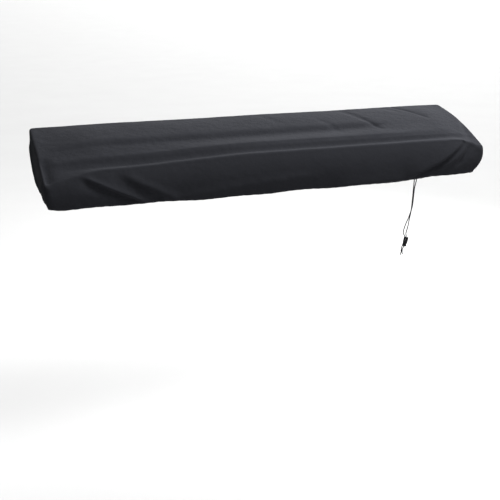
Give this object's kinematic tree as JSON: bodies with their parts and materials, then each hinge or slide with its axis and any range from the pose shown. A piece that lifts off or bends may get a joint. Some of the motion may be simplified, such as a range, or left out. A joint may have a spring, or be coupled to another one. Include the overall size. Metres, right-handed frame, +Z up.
{
  "type": "digital piano cover",
  "caption": "Fitted black stretch-cloth dust cover for a digital piano, draped over its sloping top, with a turned-under hem, a hanging drawcord and a sprung cord lock.",
  "frame": {"origin": "under the cloth at the middle of its top, where the instrument carries it", "axes": "+X along the keyboard to the player's right, -Y towards the player, +Z up"},
  "size_m": [1.3848, 0.319, 0.4347],
  "materials": {
    "cloth": "soft matte stretch knit with a faint sheen",
    "cord": "round braided cord",
    "lock_plastic": "moulded, fine satin"
  },
  "bodies": {
    "cover": {"cover_cloth": "cloth", "cord_strand_a": "cord", "cord_strand_b": "cord", "cord_tail_a": "cord", "cord_tail_b": "cord", "cord_knot": "cord", "lock_barrel": "lock_plastic"},
    "button": {"lock_button": "lock_plastic"}
  },
  "joints": [
    {"name": "button_press", "type": "slide", "parent": "cover", "child": "button", "axis": [0.1959, 0, 0.9806], "range_m": [0, 0.004], "stiffness_N_per_m": 300, "springref_m": -0.004}
  ]
}
